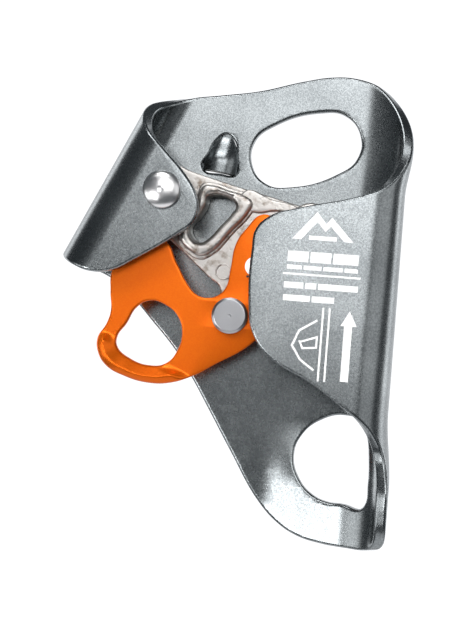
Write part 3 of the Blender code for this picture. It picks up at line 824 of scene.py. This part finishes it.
def lever_place(x, z, behind):
    """Raises the loop's rim forward: up from the hole to a ridge, then round and down outside."""
    middle = (LEVER_FRONT + LEVER_BACK) / 2
    spot = Vector((x, z))
    beyond = (spot - LIP_LINE).dot(LIP_ACROSS)
    if beyond < LIP_START:
        return x, middle + behind, z
    inside, outside = distance_to_loop(spot, hole_edge), distance_to_loop(spot, outer_edge)
    across = inside / max(inside + outside, 1e-6)
    if across < LIP_RIDGE:
        height = across / LIP_RIDGE
    else:
        height = 1.0 - LIP_FALL * ((across - LIP_RIDGE) / (1.0 - LIP_RIDGE)) ** 1.5
    near = smooth_step(inside + outside, LIP_WIDE, LIP_NARROW)
    raised = LIP_RISE * height * smooth_step(beyond, LIP_START, LIP_FULL) * near
    return x, middle + behind - raised, z


# %% Lever
lever_mesh = sheet_mesh("orange_lever", LEVER, [FINGER_HOLE, ring_points(PIN, PIN_RADIUS + GAP)],
                        LEVER_BACK - LEVER_FRONT, LEVER_EDGE, steps=OUTLINE_STEPS)
lip_from = LIP_LINE.x + LIP_START * LIP_ACROSS.x, LIP_LINE.y + LIP_START * LIP_ACROSS.y
lever_cuts = [(*lip_from, *LIP_ACROSS, 0.3, 40), (-64.0, 0.0, 1.0, 0.0, 0.45, 58)]
orange_lever = finished("orange_lever", shape_sheet(lever_mesh, lever_cuts, lever_place), lever_orange,
                        "lever", weighted=False)
lever_mesh.set_sharp_from_angle(angle=math.radians(60))
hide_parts("release_lever")
print("lever:", len(lever_mesh.polygons), "faces")

# %% [markdown]
# ## Rivet, pin and springs
#
# A turned part is half of its section, spun round its axis by a Screw modifier. The rivet's head
# is a low dome that was pressed and polished; the pin's head is flat, with a bright chamfer and a
# small dimple where the turning tool finished.


# %% Turned pieces
TURN_STEPS = 96


def turned(name, profile, centre, material, body, sharp=35):
    mesh = bpy.data.meshes.new(name)
    spun = bpy.data.objects.new(name, mesh)
    points = [(radius * MM, 0.0, -y * MM) for radius, y in profile]
    mesh.from_pydata(points, [(i, i + 1) for i in range(len(points) - 1)], [])
    screw = spun.modifiers.new("Turn", "SCREW")
    screw.steps = screw.render_steps = TURN_STEPS
    screw.use_merge_vertices = True
    screw.merge_threshold = MERGE
    solid = baked(spun)
    solid.transform(Matrix.Rotation(math.radians(90), 4, "X"))
    solid.transform(Matrix.Translation(Vector((centre[0], 0.0, centre[1])) * MM))
    merged(solid, MERGE)
    piece = finished(name, solid, material, body, weighted=False)
    solid.set_sharp_from_angle(angle=math.radians(sharp))
    return piece


rivet_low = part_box("cam_axle")[0]
head_back = LEAF_FACE - GAP
dome_front = rivet_low[1] / MM
HEAD_RADIUS, HEAD_RIM = 5.1, 0.7
DOME_STEPS, DOME_STEP = 19, 5  # points on the dome, and the degrees between them
dome_rise = dome_front - head_back + HEAD_RIM
dome = []
for step in range(DOME_STEPS):
    angle = math.radians(90 - DOME_STEP * step)
    dome.append((HEAD_RADIUS * math.cos(angle), head_back - HEAD_RIM + dome_rise * math.sin(angle)))
# The top of the dome has a small dent where the riveting tool stood.
dome[0:2] = [(0.0, dome_front + 0.14), (0.7, dome_front + 0.12), (0.95, dome_front + 0.05)]
rivet_profile = dome + [
    (HEAD_RADIUS, head_back - 0.12), (HEAD_RADIUS - 0.12, head_back), (AXLE_RADIUS, head_back),
    (AXLE_RADIUS, 0.9), (2.75, 1.3), (2.2, 1.5), (1.2, 1.42), (0.0, 1.38),
]
rivet = turned("rivet", rivet_profile, AXLE, rivet_steel, "body")
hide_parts("cam_axle")

pin_low, pin_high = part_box("lever_pin")
pin_front, pin_back = pin_low[1] / MM, pin_high[1] / MM
pin_head_back = LEVER_FRONT - GAP
pin_profile = [
    (0.0, pin_front + 0.2), (0.25, pin_front + 0.16), (0.4, pin_front + 0.02), (0.46, pin_front),
    (0.7, pin_front), (2.2, pin_front), (4.1, pin_front), (4.22, pin_front + 0.03),
    (4.78, pin_front + 0.42), (4.85, pin_front + 0.55),
    (4.85, pin_head_back - 0.15), (4.72, pin_head_back), (PIN_RADIUS, pin_head_back),
    (PIN_RADIUS, pin_back - 0.3), (PIN_RADIUS - 0.3, pin_back), (0.0, pin_back),
]
pin = turned("pin", pin_profile, PIN, pin_steel, "cam", sharp=8)
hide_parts("lever_pin")
print(f"rivet head to y {dome_front:.1f}, pin head to y {pin_front:.1f}")


# %% Torsion springs
COIL_STEPS = 40  # pieces in each turn of wire


def coil(name, centre, radius, wire, front, back, turns, leg, replaced):
    curve = bpy.data.curves.new(name, "CURVE")
    curve.dimensions = "3D"
    curve.bevel_depth = wire / 2 * MM
    curve.bevel_resolution = EDGE_STEPS
    curve.use_fill_caps = True
    spline = curve.splines.new("POLY")
    count = int(turns * COIL_STEPS) + 1
    spline.points.add(count)
    for i in range(count):
        angle = 2.0 * math.pi * i / COIL_STEPS
        depth = front + (back - front) * i / (count - 1)
        place = Vector((centre[0] + radius * math.cos(angle), depth, centre[1] + radius * math.sin(angle)))
        spline.points[i + 1].co = (*(place * MM), 1.0)
    start = Vector(spline.points[1].co[:3])
    spline.points[0].co = (*(start + Vector((leg * 0.4, 0.0, -leg)) * MM), 1.0)
    mesh = baked(bpy.data.objects.new(name, curve))
    merged(mesh, FINE_MERGE)
    piece = finished(name, mesh, spring_steel, "cam", weighted=False)
    mesh.set_sharp_from_angle(angle=math.radians(50))
    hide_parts(replaced)


# radius, wire, turns and length of the straight leg
CAM_COIL, CAM_COIL_WIRE, CAM_COIL_TURNS, CAM_COIL_LEG = 5.5, 0.9, 4.0, 3.2
LEVER_COIL, LEVER_COIL_WIRE, LEVER_COIL_TURNS, LEVER_COIL_LEG = 4.3, 0.7, 1.5, 0.2
FLAP_FACE = -(SHEET / 2 + 2 * FLAP_BEND[1] - SHEET)
coil("cam_coil", AXLE, CAM_COIL, CAM_COIL_WIRE, FLAP_FACE + 1.0, CAM_FRONT - 1.0, CAM_COIL_TURNS,
     CAM_COIL_LEG, "cam_spring")
coil("lever_coil", PIN, LEVER_COIL, LEVER_COIL_WIRE, LEVER_BACK + 0.9, CAM_FRONT - 0.7,
     LEVER_COIL_TURNS, LEVER_COIL_LEG, "lever_spring")

# %% Bushes from the working model
for node_name in ("axle_washer", "axle_sleeve"):
    bush = frame["nodes"][node_name]
    bush.data.materials.clear()
    bush.data.materials.append(black_resin)
print("bushes dressed")

# %% [markdown]
# ## Printed marks
#
# The front leaf carries white marks: a plain mountain sign, lines where a maker would put words, a
# small drawing of the clamp on its rope, and an arrow that shows which way up it goes. They are
# screen printed, so each is a film less than a tenth of a millimetre thick, made from flat curves
# and laid on the leaf.

# %% Ink film
INK = 0.03  # half the film's thickness
WORD_GAP = 0.25  # half the gap between two words
MARK_STEPS = 8  # pieces of each stretch of a round mark


def printed(name, loops, front, material, body, smooth=False, taper=0.0):
    curve = bpy.data.curves.new(name, "CURVE")
    curve.dimensions = "2D"
    curve.fill_mode = "BOTH"
    curve.extrude = INK * MM
    for loop in loops:
        spline = curve.splines.new("BEZIER")
        spline.bezier_points.add(len(loop) - 1)
        for bezier, (x, z) in zip(spline.bezier_points, loop):
            bezier.co = (x * MM, z * MM, 0.0)
            bezier.handle_left_type = bezier.handle_right_type = "AUTO" if smooth else "VECTOR"
        spline.use_cyclic_u = True
        spline.resolution_u = MARK_STEPS if smooth else 1
    mesh = baked(bpy.data.objects.new(name, curve))
    mesh.transform(Matrix.Rotation(math.radians(90), 4, "X"))
    mesh.transform(Matrix.Translation((0.0, front * MM, 0.0)))
    merged(mesh, FINE_MERGE)
    for vert in mesh.vertices:
        vert.co.y += taper * (vert.co.z - LEAF_MIDDLE * MM)
    piece = finished(name, mesh, material, body, weighted=False)
    mesh.set_sharp_from_angle(angle=math.radians(30))
    return piece


def bar(x0, z0, x1, z1):
    return [(x0, z0), (x1, z0), (x1, z1), (x0, z1)]


def stroke(points, width):
    """A band of one width along a line of points, mitred at its corners."""
    left, right = [], []
    for i, point in enumerate(points):
        here = Vector(point)
        before = (here - Vector(points[i - 1])).normalized() if i > 0 else None
        after = (Vector(points[i + 1]) - here).normalized() if i < len(points) - 1 else None
        heading = ((before or after) + (after or before)).normalized()
        side = Vector((-heading.y, heading.x))
        reach = width / 2 / max(0.35, side.dot(Vector((-(after or before).y, (after or before).x))))
        left.append(tuple(here + side * reach))
        right.append(tuple(here - side * reach))
    return left + right[::-1]


# %% Marks on the leaf
peaks = [
    [(-13.6, 59.6), (-7.4, 67.0), (-4.9, 64.0), (-3.4, 65.8), (2.6, 59.6), (0.2, 59.6), (-3.6, 63.4),
     (-4.9, 61.9), (-7.2, 64.4), (-11.2, 59.6)],
    bar(-9.2, 59.6, -1.8, 60.7),
]
word_lines = [  # the low and high edge of each line of words, and the x where its words meet
    (53.6, 56.4, (-14.6, -8.6, -2.6, 4.6)),
    (51.6, 52.7, (-14.6, -10.2, -5.0, 0.6, 4.6)),
    (46.6, 48.2, (-15.0, -9.4, -6.0, 5.0)),
    (43.2, 44.8, (-15.0, -7.4, -1.0)),
]
words = []
for low, high, edges in word_lines:
    for start, end in zip(edges, edges[1:]):
        words.append(bar(start + WORD_GAP, low, end - WORD_GAP, high))
rule = [bar(-15.3, 50.1, 5.2, 50.6)]
arrow = [[(1.9, 23.0), (4.0, 23.0), (4.0, 37.6), (5.2, 37.6), (3.1, 41.6), (0.9, 37.6), (1.9, 37.6)]]
rope = [stroke([(-3.9, 42.0), (-3.9, 22.6)], 0.5), stroke([(-2.2, 42.0), (-2.2, 22.6)], 0.5)]
clamp = [stroke([(-5.2, 38.6), (-9.8, 35.6), (-11.4, 31.6), (-9.0, 28.0), (-5.2, 25.4)], 0.55),
         stroke([(-9.4, 32.6), (-5.0, 34.2), (-5.0, 31.4), (-8.6, 31.0), (-9.6, 33.0)], 0.5)]
marks = {"mark_peaks": peaks, "mark_words": words, "mark_rule": rule, "mark_arrow": arrow,
         "mark_rope": rope, "mark_clamp": clamp}
for mark_name, loops in marks.items():
    printed(mark_name, loops, LEAF_FACE, white_ink, "body", taper=LEAF_TAPER)
print("leaf marks:", len(marks), "at y", round(LEAF_FACE, 2))

# %% Dots on the lever
printed("lever_dot", [ring_points((-23.4, 51.6), 2.6)], LEVER_FRONT, white_ink, "lever",
        smooth=True)
printed("lever_point", [ring_points((-25.1, 48.8), 0.35)], LEVER_FRONT, black_ink, "lever",
        smooth=True)

# %% [markdown]
# ## Studio
#
# Metal shows what stands round it. A broad panel above and in front lights the flat faces. The
# left side is left dark, so that the flap's bend draws a dark band, and weaker panels at the right
# and low on the left keep the other bends lighter. A white wall behind and a sheet of paper far
# below light the outer edges. The pale bowl is only a backdrop: the metal doesn't mirror it.

# %% Backdrop
FLOOR = -0.16
BOWL_RADIUS, BOWL_CURVE, BOWL_TOP = 2.2, 0.8, 2.6


def paper(name, brightness):
    material = bpy.data.materials.new(name)
    material.use_nodes = True
    nodes, links = material.node_tree.nodes, material.node_tree.links
    nodes.clear()
    glow = nodes.new("ShaderNodeEmission")
    glow.label = "Evenly lit paper"
    glow.location = (0, 0)
    glow.inputs["Color"].default_value = (0.97, 0.98, 1.0, 1.0)
    glow.inputs["Strength"].default_value = brightness
    output = nodes.new("ShaderNodeOutputMaterial")
    output.location = (220, 0)
    links.new(glow.outputs["Emission"], output.inputs["Surface"])
    return material


def swept(name, profile, first, last, material, steps=64):
    """A wall swept round the object, between two angles from the front."""
    mesh = bpy.data.meshes.new(name)
    points = []
    for i in range(steps + 1):
        turn = math.radians(first + (last - first) * i / steps)
        points += [(math.sin(turn) * radius, -math.cos(turn) * radius, z) for radius, z in profile]
    rows = len(profile)
    mesh.from_pydata(points, [], [(i * rows + j, i * rows + j + 1, (i + 1) * rows + j + 1, (i + 1) * rows + j)
                                  for i in range(steps) for j in range(rows - 1)])
    mesh.materials.append(material)
    mesh.shade_smooth()
    wall = bpy.data.objects.new(name, mesh)
    bpy.context.scene.collection.objects.link(wall)
    return wall


WALL_RADIUS, WALL_REACH, WALL_FIRST, WALL_LAST = 1.0, 0.9, 112, 248
PAPER_RADIUS, PAPER_DROP = 0.8, -0.9
bowl = [(0.0, FLOOR), (0.5, FLOOR), (BOWL_RADIUS - BOWL_CURVE, FLOOR)]
bowl += [(BOWL_RADIUS - BOWL_CURVE + BOWL_CURVE * math.sin(math.radians(a)),
          FLOOR + BOWL_CURVE - BOWL_CURVE * math.cos(math.radians(a))) for a in range(15, 91, 15)]
bowl.append((BOWL_RADIUS, BOWL_TOP))
backdrop = swept("backdrop", bowl, 0, 360, paper("pale_paper", 1.12))
backdrop.visible_glossy = False
backdrop.visible_diffuse = False
wall_rows = [(WALL_RADIUS, -WALL_REACH), (WALL_RADIUS, WALL_REACH)]
back_wall = swept("back_wall", wall_rows, WALL_FIRST, WALL_LAST, paper("bright_paper", 1.0))
back_wall.visible_camera = False
paper_rows = [(0.0, PAPER_DROP), (PAPER_RADIUS, PAPER_DROP)]
low_paper = swept("low_paper", paper_rows, 0, 360, paper("floor_paper", 0.9))
low_paper.visible_camera = False
low_paper.visible_diffuse = False

# %% Lights
middle = Vector((-0.0276, -0.009, 0.038))
PANEL_DISTANCE = 0.9
WORLD_STRENGTH = 0.08


def panel(name, azimuth, height, width, tall, power):
    """A soft panel facing the object, placed by its degrees from the front and above level."""
    light = bpy.data.lights.new(name, "AREA")
    light.shape = "RECTANGLE"
    light.size = width
    light.size_y = tall
    light.energy = power
    lamp = bpy.data.objects.new(name, light)
    turn, lift = math.radians(azimuth), math.radians(height)
    away = Vector((math.sin(turn) * math.cos(lift), -math.cos(turn) * math.cos(lift), math.sin(lift)))
    lamp.location = middle + away * PANEL_DISTANCE
    lamp.rotation_euler = away.to_track_quat("Z", "Y").to_euler()
    bpy.context.scene.collection.objects.link(lamp)
    return lamp


panel("panel_front", 7, 19.0, 0.62, 0.46, 2.85)
panel("panel_upper", -12, 56, 0.45, 0.25, 2.2)
panel("panel_low_left", -29, -14, 0.26, 0.24, 1.75)
panel("panel_low_side", -62, -18, 0.5, 0.4, 1.1)
panel("panel_right", 58, 10, 0.75, 0.6, 1.1)
panel("panel_right_edge", 118, 8, 0.25, 1.0, 0.9)
panel("panel_left_edge", -126, 8, 0.25, 1.0, 0.85)
fill = panel("panel_fill", -38, 38, 0.35, 0.35, 9.0)
fill.visible_glossy = False

world = bpy.data.worlds.new("studio")
world.use_nodes = True
world.node_tree.nodes["Background"].inputs["Color"].default_value = (0.82, 0.92, 1.0, 1.0)
world.node_tree.nodes["Background"].inputs["Strength"].default_value = WORLD_STRENGTH
bpy.context.scene.world = world
bpy.context.scene.view_settings.view_transform = "Standard"

# %% [markdown]
# A long lens keeps the outline true. The camera stands a little to the right of the front and is
# rolled slightly, so the ascender leans as if it lay on a table.

# %% Camera
LENS = 100.0
STAND_OFF = 0.474
CAMERA_TURN, CAMERA_LIFT, CAMERA_ROLL = 6.0, 0.5, 4.4
lens = bpy.data.cameras.new("camera")
lens.lens = LENS
camera = bpy.data.objects.new("camera", lens)
bpy.context.scene.collection.objects.link(camera)
turn, lift, roll = (math.radians(angle) for angle in (CAMERA_TURN, CAMERA_LIFT, CAMERA_ROLL))
away = Vector((math.sin(turn) * math.cos(lift), -math.cos(turn) * math.cos(lift), math.sin(lift)))
level_right = Vector((math.cos(turn), math.sin(turn), 0.0))
level_up = away.cross(level_right)
right = level_right * math.cos(roll) + level_up * math.sin(roll)
up = level_up * math.cos(roll) - level_right * math.sin(roll)
facing = Matrix((right, up, away)).transposed().to_4x4()
camera.matrix_world = Matrix.Translation(middle + away * STAND_OFF) @ facing
bpy.context.scene.camera = camera
